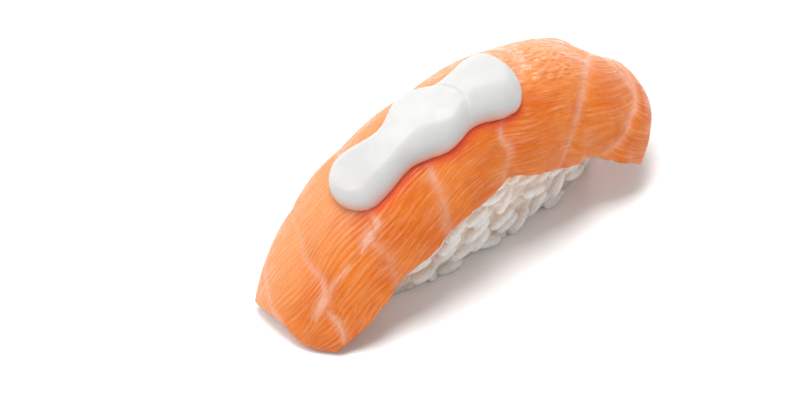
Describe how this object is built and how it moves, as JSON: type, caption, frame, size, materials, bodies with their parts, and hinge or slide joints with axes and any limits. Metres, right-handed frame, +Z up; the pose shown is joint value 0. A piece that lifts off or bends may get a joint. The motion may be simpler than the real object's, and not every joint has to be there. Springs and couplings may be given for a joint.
{
  "type": "salmon sushi",
  "caption": "Salmon sushi: a pressed finger of rice under a draped slice of raw salmon, topped with a lobed ribbon of white sauce.",
  "frame": {"origin": "on the floor under the centre of the bounding box", "axes": "+X along the piece towards the wide end of the salmon, -Y to the front where the rice shows most, +Z up"},
  "size_m": [0.0876, 0.038, 0.0362],
  "materials": {
    "rice": null,
    "salmon": null,
    "sauce": null
  },
  "bodies": {
    "root": {"rice": "rice", "salmon": "salmon", "sauce": "sauce"}
  },
  "joints": []
}
